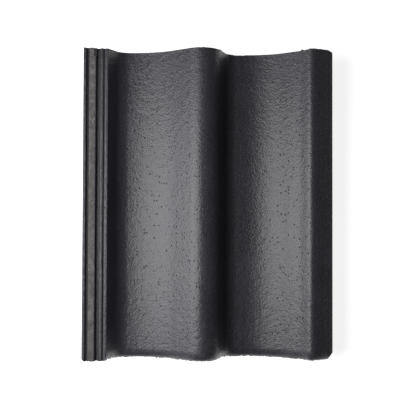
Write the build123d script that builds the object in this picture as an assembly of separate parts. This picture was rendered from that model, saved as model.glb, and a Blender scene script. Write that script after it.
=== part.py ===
from build123d import *
import math
import os

# Interlocking double-roll roof tile, cast in one piece of concrete.
# X runs across the tile from the underlock edge to the overlock edge, Y up the
# roof from the nose to the head, Z is up. Lengths are in millimetres and
# angles in degrees. Heights are counted from the floors of the two troughs.
# The finished tile is laid down at the end as it lies on a level floor.

# Overall sizes
tile_length = 420.0
tile_width = 338.0
shell = 11.0

# Wave of the top face: two troughs and the roll between them
wall_angle = 57.0
wall_foot_radius = 20.0
trough_1_radius = 103.0
trough_2_radius = 88.0
rise_angle = 37.5
roll_height = 42.6
roll_radius = 27.0
roll_offset = 25.5
fall_angle = 64.0
fall_foot_radius = 16.0

# The underside is hollowed more where the wave is steep, so that courses nest
steep_from = 50.0
steep_relief = 2.5

# Underlock along the left edge, its ribs and grooves in order from that edge
land_height = 27.9
inner_rib_drop = 3.2
outer_rib = 4.2
outer_groove = 4.1
outer_groove_depth = 3.0
land = 8.9
main_groove = 5.7
main_groove_depth = 5.5
inner_rib = 4.1
fine_groove = 2.1
fine_groove_depth = 2.0
last_rib = 3.9
groove_draft = 14.0
rib_edge_radius = 0.9
groove_root_radius = 0.5
underlock_thickness = 12.5

# Overlock along the right edge, the second roll, which covers the next tile's underlock
overlock_width = 45.0
crest_foot_height = 32.0
crest_foot_radius = 40.0
crest_rise_angle = 46.0
crest_over_land = 16.9
crest_radius = 10.0
cap_fall = 12.0
cap_run = 14.0
cap_radius = 60.0
edge_fall = 27.0
edge_radius = 2.5
hollow_clearance = 3.6
tongue_root = 6.0
tongue_tip = 2.4
tongue_reach = 3.6
side_clearance = 1.2
lap_clearance = 1.3
underside_radius = 1.2

# Nose, where the wave rolls over the front edge
nose_length = 13.0
nose_depth = 7.5
nose_spare = 1.0
corner_break_x = 7.5
corner_break_y = 10.5

# Weather bars under the nose
bar_count = 2
bar_start = 12.0
bar_pitch = 22.0
bar_width = 8.0
bar_depth = 3.0
bar_overlap = 2.0
bar_edge_gap = 26.0

# Two nibs near the head, which hang on the batten
hang_length = 398.0
nib_width = 30.0
nib_length = 20.0
nib_depth = 14.0
nib_draft = 6.0
nib_corner_radius = 3.0
nib_edge_radius = 2.0

# Sizes that follow from the ones above
lap_width = outer_rib + outer_groove + land + main_groove + inner_rib + fine_groove + last_rib
cover_width = tile_width - lap_width
inner_rib_height = land_height - inner_rib_drop
roll_x = lap_width + cover_width / 2 - roll_offset
roll_centre = (roll_x, roll_height - roll_radius)
crest_height = land_height + crest_over_land

# Most of a straight stretch that its two roundings may take up
full_share = 0.99


def meet(point_a, angle_a, point_b, angle_b):
    """Return where two lines cross, each given by a point and an angle."""
    ax, az = math.cos(math.radians(angle_a)), math.sin(math.radians(angle_a))
    bx, bz = math.cos(math.radians(angle_b)), math.sin(math.radians(angle_b))
    dx, dz = point_b[0] - point_a[0], point_b[1] - point_a[1]
    step = (dx * bz - dz * bx) / (ax * bz - az * bx)
    return (point_a[0] + step * ax, point_a[1] + step * az)


def on_circle(centre, radius, angle):
    """Return the point of a circle at an angle from +X."""
    turn = math.radians(angle)
    return (centre[0] + radius * math.cos(turn), centre[1] + radius * math.sin(turn))


def rounded_line(corners, closed=True):
    """Make the wire through corners given as (x, z, rounding radius).

    Where two roundings have too little room between them, both are made smaller.
    """
    points = [Vector(x, 0, z) for x, z, _ in corners]
    count = len(points)
    cuts = []
    for i, (_, _, radius) in enumerate(corners):
        if not closed and i in (0, count - 1):
            cuts.append(0)
            continue
        back = points[i - 1] - points[i]
        ahead = points[(i + 1) % count] - points[i]
        cuts.append(radius / math.tan(math.radians(back.get_angle(ahead)) / 2))
    shares = []
    for i in range(count):
        wanted = cuts[i] + cuts[(i + 1) % count]
        length = (points[(i + 1) % count] - points[i]).length
        shares.append(min(1, full_share * length / wanted) if wanted else 1)
    bends = []
    for i in range(count):
        if not cuts[i]:
            bends.append([points[i]])
            continue
        back = points[i - 1] - points[i]
        ahead = points[(i + 1) % count] - points[i]
        half = math.radians(back.get_angle(ahead)) / 2
        cut = cuts[i] * min(shares[i - 1], shares[i])
        bisector = (back.normalized() + ahead.normalized()).normalized()
        crown = cut * (1 / math.cos(half) - math.tan(half))
        bends.append(
            [
                points[i] + back.normalized() * cut,
                points[i] + bisector * crown,
                points[i] + ahead.normalized() * cut,
            ]
        )
    edges = []
    for i, bend in enumerate(bends):
        if len(bend) > 1:
            edges.append(ThreePointArc(*bend))
        if closed or i < count - 1:
            edges.append(Line(bend[-1], bends[(i + 1) % count][0]))
    return Wire(edges)


def sunk(corners, depth):
    """Return the inner corners of an open line of corners, sunk by a depth.

    Steep stretches are sunk less. Hollows widen and crests tighten.
    """
    lines = []
    for (x0, z0, _), (x1, z1, _) in zip(corners, corners[1:]):
        angle = math.degrees(math.atan2(z1 - z0, x1 - x0))
        sinking = depth - steep_relief if abs(angle) > steep_from else depth
        lines.append((on_circle((x0, z0), sinking, angle - 90), angle))
    inner = []
    for before, after, corner in zip(lines, lines[1:], corners[1:]):
        x, z = meet(*before, *after)
        radius = corner[2] + (depth if after[1] > before[1] else -depth)
        inner.append((x, z, max(radius, underside_radius)))
    return inner


def groove(start, width, depth, left_height, right_height):
    """Return the four corners of a drafted groove between two ribs."""
    floor = left_height - depth
    left_run = depth * math.tan(math.radians(groove_draft))
    right_run = (right_height - floor) * math.tan(math.radians(groove_draft))
    return [
        (start, left_height, rib_edge_radius),
        (start + left_run, floor, groove_root_radius),
        (start + width - right_run, floor, groove_root_radius),
        (start + width, right_height, rib_edge_radius),
    ]


# Top of the underlock
outer_groove_x = outer_rib
main_groove_x = outer_groove_x + outer_groove + land
fine_groove_x = main_groove_x + main_groove + inner_rib
underlock_top = [
    (0, land_height, rib_edge_radius),
    *groove(outer_groove_x, outer_groove, outer_groove_depth, land_height, land_height),
    *groove(main_groove_x, main_groove, main_groove_depth, land_height, inner_rib_height),
    *groove(
        fine_groove_x, fine_groove, fine_groove_depth, inner_rib_height, inner_rib_height
    ),
]

# Top of the wave: its straight stretches meet in these corners
wall_top = (lap_width, inner_rib_height)
trough_1_start = meet(wall_top, -wall_angle, (0, 0), 0)
roll_left = on_circle(roll_centre, roll_radius, 90 + rise_angle)
roll_right = on_circle(roll_centre, roll_radius, 90 - fall_angle)
trough_1_end = meet(roll_left, rise_angle, (0, 0), 0)
roll_peak = meet(roll_left, rise_angle, roll_right, -fall_angle)
trough_2_start = meet(roll_right, -fall_angle, (0, 0), 0)
crest_foot = (tile_width - overlock_width, crest_foot_height)
trough_2_end = meet(crest_foot, rise_angle, (0, 0), 0)
crest = meet(crest_foot, crest_rise_angle, (0, crest_height), 0)
cap_shoulder = meet(crest, -cap_fall, (crest[0] + cap_run, 0), 90)
cap_edge = meet(cap_shoulder, -edge_fall, (tile_width, 0), 90)

wave_top = [
    (*wall_top, rib_edge_radius),
    (*trough_1_start, wall_foot_radius),
    (*trough_1_end, trough_1_radius),
    (*roll_peak, roll_radius),
    (*trough_2_start, fall_foot_radius),
    (*trough_2_end, trough_2_radius),
    (*crest_foot, crest_foot_radius),
]
cap_top = [
    (*crest, crest_radius),
    (*cap_shoulder, cap_radius),
    (*cap_edge, edge_radius),
]

# Underside of the overlock: a lip over the next tile's two lower ribs, a tongue in its
# main groove, and a hollow over its lands
next_edge = cover_width - side_clearance
ceiling = land_height + hollow_clearance
tongue_x = cover_width + main_groove_x + main_groove / 2
tongue_bottom = land_height - tongue_reach
lip_bottom = inner_rib_height + lap_clearance
slope_under = on_circle(crest_foot, shell, rise_angle - 90)
hollow_start = meet(slope_under, rise_angle, (next_edge, 0), 90)
hollow_shoulder = (next_edge, land_height + lap_clearance)
hollow_top = meet(hollow_shoulder, crest_rise_angle, (0, ceiling), 0)

overlock_under = [
    (tile_width, lip_bottom, underside_radius),
    (tongue_x + tongue_root / 2, lip_bottom, groove_root_radius),
    (tongue_x + tongue_tip / 2, tongue_bottom, underside_radius),
    (tongue_x - tongue_tip / 2, tongue_bottom, underside_radius),
    (tongue_x - tongue_root / 2, ceiling, underside_radius),
    (*hollow_top, underside_radius),
    (*hollow_shoulder, underside_radius),
    (*hollow_start, underside_radius),
]

# Underside of the wave and of the underlock
wave_under = sunk(wave_top, shell)
underlock_bottom = land_height - underlock_thickness
wall_under = on_circle(wall_top, shell - steep_relief, -wall_angle - 90)
underlock_heel = meet(wall_under, -wall_angle, (0, underlock_bottom), 0)
underlock_under = [
    (*underlock_heel, shell),
    (0, underlock_bottom, underside_radius),
]

section = Face(
    rounded_line(
        underlock_top + wave_top + cap_top + overlock_under + wave_under[::-1] + underlock_under
    )
)
tile = extrude(section, amount=tile_length, dir=(0, 1, 0))

# Weather bars: low strips that follow the underside across the tile
bar_top = sunk(wave_top + cap_top[:1], shell - bar_overlap)
bar_bottom = sunk(wave_top + cap_top[:1], shell + bar_depth)
bar_section = Face(rounded_line(bar_top + bar_bottom[::-1]))
bar_end = Plane.YZ.offset(next_edge - bar_edge_gap)
for i in range(bar_count):
    bar = extrude(bar_section, amount=bar_width, dir=(0, 1, 0))
    bar = split(bar, bisect_by=bar_end, keep=Keep.BOTTOM)
    tile += Pos(0, bar_start + i * bar_pitch, 0) * bar

# Nibs under the two troughs
nib_root_height = -shell / 2
trough_middles = [
    (trough_1_start[0] + trough_1_end[0]) / 2,
    (trough_2_start[0] + trough_2_end[0]) / 2,
]
for x in trough_middles:
    root = Plane(
        (x, hang_length + nib_length / 2, nib_root_height), x_dir=(1, 0, 0), z_dir=(0, 0, -1)
    )
    plan = RectangleRounded(nib_width, nib_length, nib_corner_radius)
    nib = extrude(root * plan, amount=shell + nib_depth + nib_root_height, taper=nib_draft)
    nib = fillet(nib.faces().sort_by(Axis.Z)[0].edges(), nib_edge_radius)
    tile += nib

# Nose: a sweep along the wave takes off the waste outside a quarter ellipse. It
# stops at the underlock, whose ribs run out square.
above_wall = meet(wall_top, -wall_angle, (0, inner_rib_height + nose_length), 0)
past_edge = meet(cap_shoulder, -edge_fall, (tile_width + nose_length, 0), 90)
nose_path = rounded_line(
    [(*above_wall, 0), *wave_top[1:], *cap_top[:-1], (*past_edge, 0)], closed=False
)
wall_turn = math.radians(wall_angle)
nose_plane = Plane(
    nose_path @ 0, x_dir=(0, 1, 0), z_dir=(math.cos(wall_turn), 0, -math.sin(wall_turn))
)
nose_curve = EllipticalCenterArc(
    (nose_length, -nose_depth), nose_length, nose_depth, start_angle=90, arc_size=90
)
nose_waste = make_face(
    [
        nose_curve,
        Polyline(
            nose_curve @ 1,
            (-nose_spare, -nose_depth),
            (-nose_spare, nose_spare),
            (nose_length, nose_spare),
            nose_curve @ 0,
        ),
    ]
)
nose_cut = sweep(nose_plane * nose_waste, path=nose_path)
nose_cut = split(nose_cut, bisect_by=Plane.YZ.offset(lap_width), keep=Keep.TOP)
tile -= nose_cut

# Broken front corner of the overlock
corner_break = Polygon(
    (tile_width + nose_spare, -nose_spare),
    (tile_width + nose_spare, corner_break_y + nose_spare),
    (tile_width - corner_break_x - nose_spare, -nose_spare),
    align=None,
)
tile -= extrude(corner_break, amount=2 * crest_height)

# Laid down on a level floor, the tile rests on the nibs and the first bar
nib_contact = hang_length + nib_depth * math.tan(math.radians(nib_draft)) + nib_edge_radius
rest_angle = math.degrees(math.atan2(nib_depth - bar_depth, nib_contact - bar_start))
tile = Rot(rest_angle, 0, 0) * tile
box = tile.bounding_box()
tile = Pos(-box.center().X, -box.center().Y, -box.min.Z) * tile

os.makedirs("parts", exist_ok=True)
export_step(tile, "parts/roof_tile.step")
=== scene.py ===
import math

import bmesh
import bpy
from bpy.props import FloatProperty, FloatVectorProperty, IntProperty, PointerProperty
from mathutils import Matrix, Vector


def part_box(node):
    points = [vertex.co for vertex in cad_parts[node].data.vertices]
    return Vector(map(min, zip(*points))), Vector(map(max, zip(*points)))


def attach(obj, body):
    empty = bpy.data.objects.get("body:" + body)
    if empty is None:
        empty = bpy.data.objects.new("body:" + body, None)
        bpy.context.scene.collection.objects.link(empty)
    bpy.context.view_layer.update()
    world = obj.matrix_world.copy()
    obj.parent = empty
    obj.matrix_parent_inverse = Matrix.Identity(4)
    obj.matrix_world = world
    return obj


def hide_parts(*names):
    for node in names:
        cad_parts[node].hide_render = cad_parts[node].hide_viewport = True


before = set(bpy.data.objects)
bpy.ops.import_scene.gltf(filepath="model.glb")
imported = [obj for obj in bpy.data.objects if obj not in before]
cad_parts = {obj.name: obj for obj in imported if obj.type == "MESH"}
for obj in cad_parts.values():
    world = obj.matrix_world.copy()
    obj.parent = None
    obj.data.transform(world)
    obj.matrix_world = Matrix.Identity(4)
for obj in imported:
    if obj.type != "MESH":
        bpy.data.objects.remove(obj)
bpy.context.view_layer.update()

bl_info = {
    "name": "Concrete roof tile",
    "version": (1, 0, 0),
    "blender": (4, 5, 0),
    "location": "View3D > Sidebar > Roof tile",
    "description": "Cast body, crumbs and studio of an interlocking double-roll roof tile",
    "category": "Object",
}

NODE = "roof_tile"
MM = 0.001

# Section of the casting in millimetres. X runs from the underlock edge, heights
# are counted from the floors of the troughs.
TILE_LENGTH = 420.0
TILE_WIDTH = 338.0
SHELL = 11.0
WALL_ANGLE = 57.0
WALL_FOOT_RADIUS = 20.0
TROUGH_1_RADIUS = 103.0
TROUGH_2_RADIUS = 88.0
RISE_ANGLE = 37.5
ROLL_HEIGHT = 42.6
ROLL_RADIUS = 27.0
ROLL_OFFSET = 25.5
FALL_ANGLE = 64.0
FALL_FOOT_RADIUS = 16.0
STEEP_FROM = 50.0
STEEP_RELIEF = 2.5
LAND_HEIGHT = 27.9
INNER_RIB_DROP = 3.2
OUTER_RIB = 4.2
OUTER_GROOVE = 4.1
OUTER_GROOVE_DEPTH = 3.0
LAND = 8.9
MAIN_GROOVE = 5.7
MAIN_GROOVE_DEPTH = 5.5
INNER_RIB = 4.1
FINE_GROOVE = 2.1
FINE_GROOVE_DEPTH = 2.0
LAST_RIB = 3.9
GROOVE_DRAFT = 14.0
RIB_EDGE_RADIUS = 0.9
GROOVE_ROOT_RADIUS = 0.5
UNDERLOCK_THICKNESS = 12.5
OVERLOCK_WIDTH = 45.0
CREST_FOOT_HEIGHT = 32.0
CREST_FOOT_RADIUS = 40.0
CREST_RISE_ANGLE = 46.0
CREST_HEIGHT = 44.8
CREST_RADIUS = 10.0
CAP_FALL = 12.0
CAP_RUN = 14.0
CAP_RADIUS = 60.0
EDGE_FALL = 27.0
EDGE_RADIUS = 2.5
HOLLOW_CLEARANCE = 3.6
TONGUE_ROOT = 6.0
TONGUE_TIP = 2.4
TONGUE_REACH = 3.6
SIDE_CLEARANCE = 1.2
LAP_CLEARANCE = 1.3
UNDERSIDE_RADIUS = 1.2

# Most of a straight stretch that its two roundings may take up
FULL_SHARE = 0.99

# Nose, weather bars and nibs
NOSE_LENGTH = 13.0
NOSE_DEPTH = 7.5
BAR_COUNT = 2
BAR_START = 12.0
BAR_PITCH = 22.0
BAR_WIDTH = 8.0
BAR_DEPTH = 3.0
BAR_EDGE_GAP = 26.0
HANG_LENGTH = 398.0
NIB_WIDTH = 30.0
NIB_LENGTH = 20.0
NIB_DEPTH = 14.0
NIB_DRAFT = 6.0
NIB_CORNER_RADIUS = 3.0
NIB_EDGE_RADIUS = 2.0

LAP_WIDTH = OUTER_RIB + OUTER_GROOVE + LAND + MAIN_GROOVE + INNER_RIB + FINE_GROOVE + LAST_RIB
COVER_WIDTH = TILE_WIDTH - LAP_WIDTH
LAND_START = OUTER_RIB + OUTER_GROOVE
INNER_RIB_HEIGHT = LAND_HEIGHT - INNER_RIB_DROP
NEXT_EDGE = COVER_WIDTH - SIDE_CLEARANCE
ROLL_X = LAP_WIDTH + COVER_WIDTH / 2 - ROLL_OFFSET
ROLL_CENTRE = (ROLL_X, ROLL_HEIGHT - ROLL_RADIUS)

# The tile lies nose down by this angle, on its lower weather bar and its nibs
REST_ANGLE = math.radians(1.6177978)

# Spacing of the modelled points in millimetres: along the section, along the tile and
# over the flat ends. An arc of the section gets a point for each of these degrees.
STRETCHES = {
    "lands": (1.3, 26.0), "ribs": (1.3, 26.0), "wave": (1.6, 14.0), "cap": (1.6, 14.0),
    "side": (2.2, 26.0), "overlock": (2.8, 45.0), "under": (4.6, 14.0), "heel": (4.0, 30.0),
}
ROW_STEP = 2.25
NOSE_ROWS = 10
END_STEP = 2.2
BAR_DRAFT = 0.6

# The cut ends stop this far inside their planes
END_INSET = 0.05

# Corners broken off the plan: a corner and how far the break runs along either side
BREAKS = [
    (TILE_WIDTH, 0.0, 7.5, 10.5),
    (0.0, 0.0, 2.6, 3.4),
    (TILE_WIDTH, TILE_LENGTH, 5.0, 2.0),
]

# How far the crumbs of either end reach across the tile, short of the broken corners
NOSE_CRUMBS = (4.0, TILE_WIDTH - 9.0)
HEAD_CRUMBS = (1.5, TILE_WIDTH - 6.5)

# Notch in the land of the underlock at the head: its two sides, its end and its floor
NOTCH = (14.6, 17.2, 408.6, 25.4)

# Where the edge of a cut end stands proud as a ragged fringe, or is worn back: from and to
# across the tile, and how far
NOSE_FRINGE = [(44.0, 50.0, 0.5), (209.0, 219.0, 0.9), (232.0, 252.0, 0.7), (258.0, 292.0, 1.0)]
HEAD_FRINGE = [(203.0, 222.0, -0.8), (299.0, 334.0, 1.3)]
FRINGE_FADE = 3.0

# Pits that stand out on the coated face: place across and up the tile, width and depth
PITS = [
    (77.4, 408.0, 2.6, 0.9),
    (88.9, 407.0, 2.4, 0.7),
    (270.6, 197.6, 3.2, 1.3),
    (251.6, 33.1, 3.6, 1.5),
    (276.3, 34.9, 2.6, 1.0),
    (104.2, 108.1, 2.4, 0.9),
    (121.0, 112.9, 2.2, 0.8),
]

# Faces of the top that look up more than this are cut back at the nose
FACING_UP = 0.2

# Painted shade in the grooves: how dark left of the land and right of it, how far below a rib
# it starts and over what depth it sets in. The land counts as bare down to its edge.
GROOVE_SHADE_LEFT = 1.0
GROOVE_SHADE_RIGHT = 0.4
GROOVE_SHADE_FROM = 0.4
GROOVE_SHADE_RUN = 0.8
LAND_EDGE = 0.5

# Nibs reach this far up into the shell, and broken pieces this far past the tile
NIB_ROOT = 3.0
BREAK_SPARE = 2.0

# Flat faces wider than this many steps are sliced, at this share of a step
BROAD_STEPS = 2.0
SLICE_SHARE = 0.37

# Noises of the relief and the crumbs: scale, detail, roughness and seed
NOISES = {
    "swell": (22.0, 2.0, 0.5, 1.3),
    "dimples": (165.0, 2.0, 0.6, 4.1),
    "bites": (140.0, 3.0, 0.65, 7.7),
    "rough": (260.0, 2.0, 0.6, 9.9),
    "ragged": (330.0, 2.0, 0.7, 5.5),
    "clusters": (55.0, 2.0, 0.6, 2.2),
    "lump": (0.9, 1.0, 0.5, 3.3),
}

# How far in from an end its edge is chipped, and how far in it is ragged, in metres
CHIP_REACH = 0.0035
RAGGED_REACH = 0.0026

# Edges bent more than this are shaded sharp
SHARP_ABOVE = math.radians(42)

# Share of the noise below which no crumbs gather, at the nose and at the head
NOSE_GATHERED = 0.38
HEAD_GATHERED = 0.55

# Dark of the pores and of the painted shade in the grooves of the coating, and of the pores in bare
# concrete
PORE_AND_GROOVE_SHADE = (0.011, 0.011, 0.012)
BARE_PORE = (0.03, 0.028, 0.026)

# Half the side of the floor in metres, its own glow and the shade of its patches
FLOOR_HALF = 6.0
FLOOR_GLOW = 0.9
FLOOR_SHADE = 0.97

# Camera: turns about the three axes, where it aims from the middle of the tile, the width
# of its sensor, and its focal length and frame width in pixels
CAMERA_TURNS = (3.98, 1.39, 0.2)
CAMERA_AIM = (-2.49, -4.7)
SENSOR_WIDTH = 36.0
FOCAL_PIXELS = 751.9
FRAME_PIXELS = 415.0


class TileShape(bpy.types.PropertyGroup):
    """Fineness and relief of the cast body."""

    wave_depth: FloatProperty(
        name="Unevenness", description="Depth of the long unevenness of the face",
        default=0.00028, unit="LENGTH", precision=5,
    )
    peel_depth: FloatProperty(
        name="Slurry texture", description="Depth of the dimpled slurry texture",
        default=0.00022, unit="LENGTH", precision=5,
    )
    chip_depth: FloatProperty(
        name="Chips", description="Depth of the small chips along the cut edges",
        default=0.0009, unit="LENGTH", precision=5,
    )
    end_depth: FloatProperty(
        name="End roughness", description="Roughness of the cut ends", default=0.0003,
        unit="LENGTH", precision=5,
    )
    pore_spacing: FloatProperty(
        name="Pore spacing", description="Least distance between two pores", default=0.011,
        unit="LENGTH", precision=4,
    )
    pore_radius: FloatProperty(
        name="Pore radius", description="Radius of the largest scattered pores",
        default=0.0009, unit="LENGTH", precision=5,
    )
    crumb_size: FloatProperty(
        name="Crumb size", description="Size of the crumbs along the cut edges",
        default=0.0012, unit="LENGTH", precision=5,
    )
    seed: IntProperty(name="Seed", description="Seed of the pores and crumbs", default=7)


class TileFinish(bpy.types.PropertyGroup):
    """Colours of the coating and of the bare concrete."""

    coating: FloatVectorProperty(
        name="Coating", description="Colour of the satin coating", subtype="COLOR",
        size=3, default=(0.0195, 0.0186, 0.0245), min=0, max=1,
    )
    coating_dust: FloatVectorProperty(
        name="Dusty coating", description="Colour of the coating where it is thin or dusty",
        subtype="COLOR", size=3, default=(0.057, 0.054, 0.068), min=0, max=1,
    )
    bare: FloatVectorProperty(
        name="Bare concrete", description="Colour of the uncoated concrete", subtype="COLOR",
        size=3, default=(0.175, 0.166, 0.16), min=0, max=1,
    )
    bare_dark: FloatVectorProperty(
        name="Damp concrete", description="Colour of the darker patches of bare concrete",
        subtype="COLOR", size=3, default=(0.055, 0.051, 0.049), min=0, max=1,
    )


class TileStudio(bpy.types.PropertyGroup):
    """Lights, floor and camera."""

    key_power: FloatProperty(
        name="Key", description="Power of the large soft light on the left", default=8.4,
        unit="POWER",
    )
    key_width: FloatProperty(
        name="Key width", description="Size of the soft light from low to high", default=0.85,
        unit="LENGTH",
    )
    key_length: FloatProperty(
        name="Key length", description="Size of the soft light along the tile", default=0.55,
        unit="LENGTH",
    )
    key_distance: FloatProperty(
        name="Key distance", description="From the tile to the soft light", default=0.72,
        unit="LENGTH",
    )
    key_tilt: FloatProperty(
        name="Key tilt", description="Angle of the soft light from straight above",
        default=math.radians(48), subtype="ANGLE",
    )
    key_heading: FloatProperty(
        name="Key heading", description="Turn of the soft light from the left to the head",
        default=math.radians(-4), subtype="ANGLE",
    )
    fill: FloatProperty(
        name="Fill", description="Brightness of the surroundings", default=0.085, min=0,
    )
    floor_colour: FloatVectorProperty(
        name="Floor", description="Colour of the floor", subtype="COLOR", size=3,
        default=(0.9, 0.9, 0.9), min=0, max=1,
    )
    camera_distance: FloatProperty(
        name="Camera distance", description="From the camera to the face of the tile",
        default=1.0, unit="LENGTH",
    )


def meet(point_a, angle_a, point_b, angle_b):
    """Return where two lines cross, each given by a point and an angle."""
    ax, az = math.cos(math.radians(angle_a)), math.sin(math.radians(angle_a))
    bx, bz = math.cos(math.radians(angle_b)), math.sin(math.radians(angle_b))
    dx, dz = point_b[0] - point_a[0], point_b[1] - point_a[1]
    step = (dx * bz - dz * bx) / (ax * bz - az * bx)
    return (point_a[0] + step * ax, point_a[1] + step * az)


def on_circle(centre, radius, angle):
    """Return the point of a circle at an angle from +X."""
    turn = math.radians(angle)
    return (centre[0] + radius * math.cos(turn), centre[1] + radius * math.sin(turn))


def sunk(corners, depth):
    """Return the inner corners of an open line of corners, sunk less where it is steep."""
    lines = []
    for (x0, z0, _), (x1, z1, _) in zip(corners, corners[1:]):
        angle = math.degrees(math.atan2(z1 - z0, x1 - x0))
        sinking = depth - STEEP_RELIEF if abs(angle) > STEEP_FROM else depth
        lines.append((on_circle((x0, z0), sinking, angle - 90), angle))
    inner = []
    for before, after, corner in zip(lines, lines[1:], corners[1:]):
        x, z = meet(*before, *after)
        radius = corner[2] + (depth if after[1] > before[1] else -depth)
        inner.append((x, z, max(radius, UNDERSIDE_RADIUS)))
    return inner


def groove(start, width, depth, left_height, right_height):
    """Return the four corners of a drafted groove between two ribs."""
    floor = left_height - depth
    left_run = depth * math.tan(math.radians(GROOVE_DRAFT))
    right_run = (right_height - floor) * math.tan(math.radians(GROOVE_DRAFT))
    return [
        (start, left_height, RIB_EDGE_RADIUS),
        (start + left_run, floor, GROOVE_ROOT_RADIUS),
        (start + width - right_run, floor, GROOVE_ROOT_RADIUS),
        (start + width, right_height, RIB_EDGE_RADIUS),
    ]


def section_corners():
    """Return the section's stretches in order, each a name and its corners (x, z, radius)."""
    main_groove_x = OUTER_RIB + OUTER_GROOVE + LAND
    fine_groove_x = main_groove_x + MAIN_GROOVE + INNER_RIB
    lands = [
        (0, LAND_HEIGHT, RIB_EDGE_RADIUS),
        *groove(OUTER_RIB, OUTER_GROOVE, OUTER_GROOVE_DEPTH, LAND_HEIGHT, LAND_HEIGHT),
    ]
    ribs = [
        *groove(main_groove_x, MAIN_GROOVE, MAIN_GROOVE_DEPTH, LAND_HEIGHT, INNER_RIB_HEIGHT),
        *groove(
            fine_groove_x, FINE_GROOVE, FINE_GROOVE_DEPTH, INNER_RIB_HEIGHT, INNER_RIB_HEIGHT
        ),
    ]
    wall_top = (LAP_WIDTH, INNER_RIB_HEIGHT)
    roll_left = on_circle(ROLL_CENTRE, ROLL_RADIUS, 90 + RISE_ANGLE)
    roll_right = on_circle(ROLL_CENTRE, ROLL_RADIUS, 90 - FALL_ANGLE)
    crest_foot = (TILE_WIDTH - OVERLOCK_WIDTH, CREST_FOOT_HEIGHT)
    wave = [
        (*wall_top, RIB_EDGE_RADIUS),
        (*meet(wall_top, -WALL_ANGLE, (0, 0), 0), WALL_FOOT_RADIUS),
        (*meet(roll_left, RISE_ANGLE, (0, 0), 0), TROUGH_1_RADIUS),
        (*meet(roll_left, RISE_ANGLE, roll_right, -FALL_ANGLE), ROLL_RADIUS),
        (*meet(roll_right, -FALL_ANGLE, (0, 0), 0), FALL_FOOT_RADIUS),
        (*meet(crest_foot, RISE_ANGLE, (0, 0), 0), TROUGH_2_RADIUS),
        (*crest_foot, CREST_FOOT_RADIUS),
    ]
    crest = meet(crest_foot, CREST_RISE_ANGLE, (0, CREST_HEIGHT), 0)
    shoulder = meet(crest, -CAP_FALL, (crest[0] + CAP_RUN, 0), 90)
    cap = [(*crest, CREST_RADIUS), (*shoulder, CAP_RADIUS)]
    side = [(*meet(shoulder, -EDGE_FALL, (TILE_WIDTH, 0), 90), EDGE_RADIUS)]
    ceiling = LAND_HEIGHT + HOLLOW_CLEARANCE
    tongue_x = COVER_WIDTH + main_groove_x + MAIN_GROOVE / 2
    tongue_bottom = LAND_HEIGHT - TONGUE_REACH
    lip_bottom = INNER_RIB_HEIGHT + LAP_CLEARANCE
    slope_under = on_circle(crest_foot, SHELL, RISE_ANGLE - 90)
    hollow_shoulder = (NEXT_EDGE, LAND_HEIGHT + LAP_CLEARANCE)
    overlock = [
        (TILE_WIDTH, lip_bottom, UNDERSIDE_RADIUS),
        (tongue_x + TONGUE_ROOT / 2, lip_bottom, GROOVE_ROOT_RADIUS),
        (tongue_x + TONGUE_TIP / 2, tongue_bottom, UNDERSIDE_RADIUS),
        (tongue_x - TONGUE_TIP / 2, tongue_bottom, UNDERSIDE_RADIUS),
        (tongue_x - TONGUE_ROOT / 2, ceiling, UNDERSIDE_RADIUS),
        (*meet(hollow_shoulder, CREST_RISE_ANGLE, (0, ceiling), 0), UNDERSIDE_RADIUS),
        (*hollow_shoulder, UNDERSIDE_RADIUS),
        (*meet(slope_under, RISE_ANGLE, (NEXT_EDGE, 0), 90), UNDERSIDE_RADIUS),
    ]
    under = sunk(wave, SHELL)[::-1]
    underlock_bottom = LAND_HEIGHT - UNDERLOCK_THICKNESS
    wall_under = on_circle(wall_top, SHELL - STEEP_RELIEF, -WALL_ANGLE - 90)
    heel = [
        (*meet(wall_under, -WALL_ANGLE, (0, underlock_bottom), 0), SHELL),
        (0, underlock_bottom, UNDERSIDE_RADIUS),
    ]
    return [
        ("lands", lands), ("ribs", ribs), ("wave", wave), ("cap", cap), ("side", side),
        ("overlock", overlock), ("under", under), ("heel", heel),
    ]


def section_points():
    """Sample the closed section. Each point is (stretch, x, z, normal x, normal z)."""
    corners = [(name, Vector((x, z)), r) for name, run in section_corners() for x, z, r in run]
    count = len(corners)
    halves = []
    for i, (_, point, _) in enumerate(corners):
        halves.append((corners[i - 1][1] - point).angle(corners[(i + 1) % count][1] - point) / 2)
    cuts = [corner[2] / math.tan(half) for corner, half in zip(corners, halves)]
    shares = []
    for i, (_, point, _) in enumerate(corners):
        length = (corners[(i + 1) % count][1] - point).length
        shares.append(min(1, FULL_SHARE * length / (cuts[i] + cuts[(i + 1) % count])))
    bends = []
    for i, (name, point, radius) in enumerate(corners):
        back = corners[i - 1][1] - point
        ahead = corners[(i + 1) % count][1] - point
        half = halves[i]
        cut = cuts[i] * min(shares[i - 1], shares[i])
        used = cut * math.tan(half)
        centre = point + (back.normalized() + ahead.normalized()).normalized() * (
            used / math.sin(half)
        )
        start = point + back.normalized() * cut
        end = point + ahead.normalized() * cut
        bends.append((name, centre, used, start, end))
    points = []
    for i, (name, centre, radius, start, end) in enumerate(bends):
        step, arc_turn = STRETCHES[name]
        first, last = start - centre, end - centre
        turn = first.angle_signed(last)
        incoming = (start - bends[i - 1][4]).normalized()
        outward = 1 if first.dot(Vector((-incoming.y, incoming.x))) > 0 else -1
        parts = max(
            math.ceil(abs(turn) * radius / step), math.ceil(abs(math.degrees(turn)) / arc_turn)
        )
        for k in range(parts + 1):
            spoke = first.copy()
            spoke.rotate(Matrix.Rotation(-turn * k / parts, 2))
            place = centre + spoke
            normal = spoke.normalized() * outward
            points.append((name, place.x, place.y, normal.x, normal.y))
        following = bends[(i + 1) % count][3]
        run = following - end
        parts = max(1, round(run.length / step))
        along = run.normalized()
        for k in range(1, parts):
            place = end + run * (k / parts)
            points.append((name, place.x, place.y, -along.y, along.x))
    return points


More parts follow.
